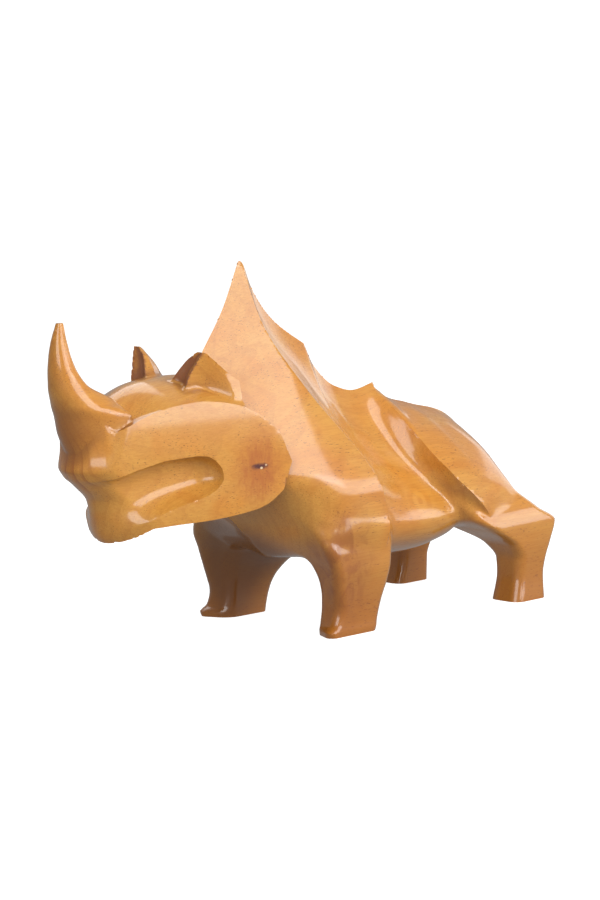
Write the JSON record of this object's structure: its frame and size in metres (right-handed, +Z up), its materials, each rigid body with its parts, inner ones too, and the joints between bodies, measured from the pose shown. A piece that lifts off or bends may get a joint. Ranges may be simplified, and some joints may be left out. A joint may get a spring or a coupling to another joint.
{
  "type": "rhinoceros figurine",
  "caption": "Stylised rhinoceros carved from one block of wood, with a tall pointed hump, a curved horn, flat cheeks and crisp ridges, standing on its own feet.",
  "frame": {"origin": "centre of the footprint of the bounds, on the plane that the feet stand on", "axes": "+Z up; the animal faces -X with its tail end towards +X; its left side is -Y"},
  "size_m": [0.3953, 0.1302, 0.2319],
  "materials": {
    "varnished_wood": "glossy clear varnish over pale honey-coloured wood"
  },
  "bodies": {
    "root": {"rhinoceros": "varnished_wood"}
  },
  "joints": []
}
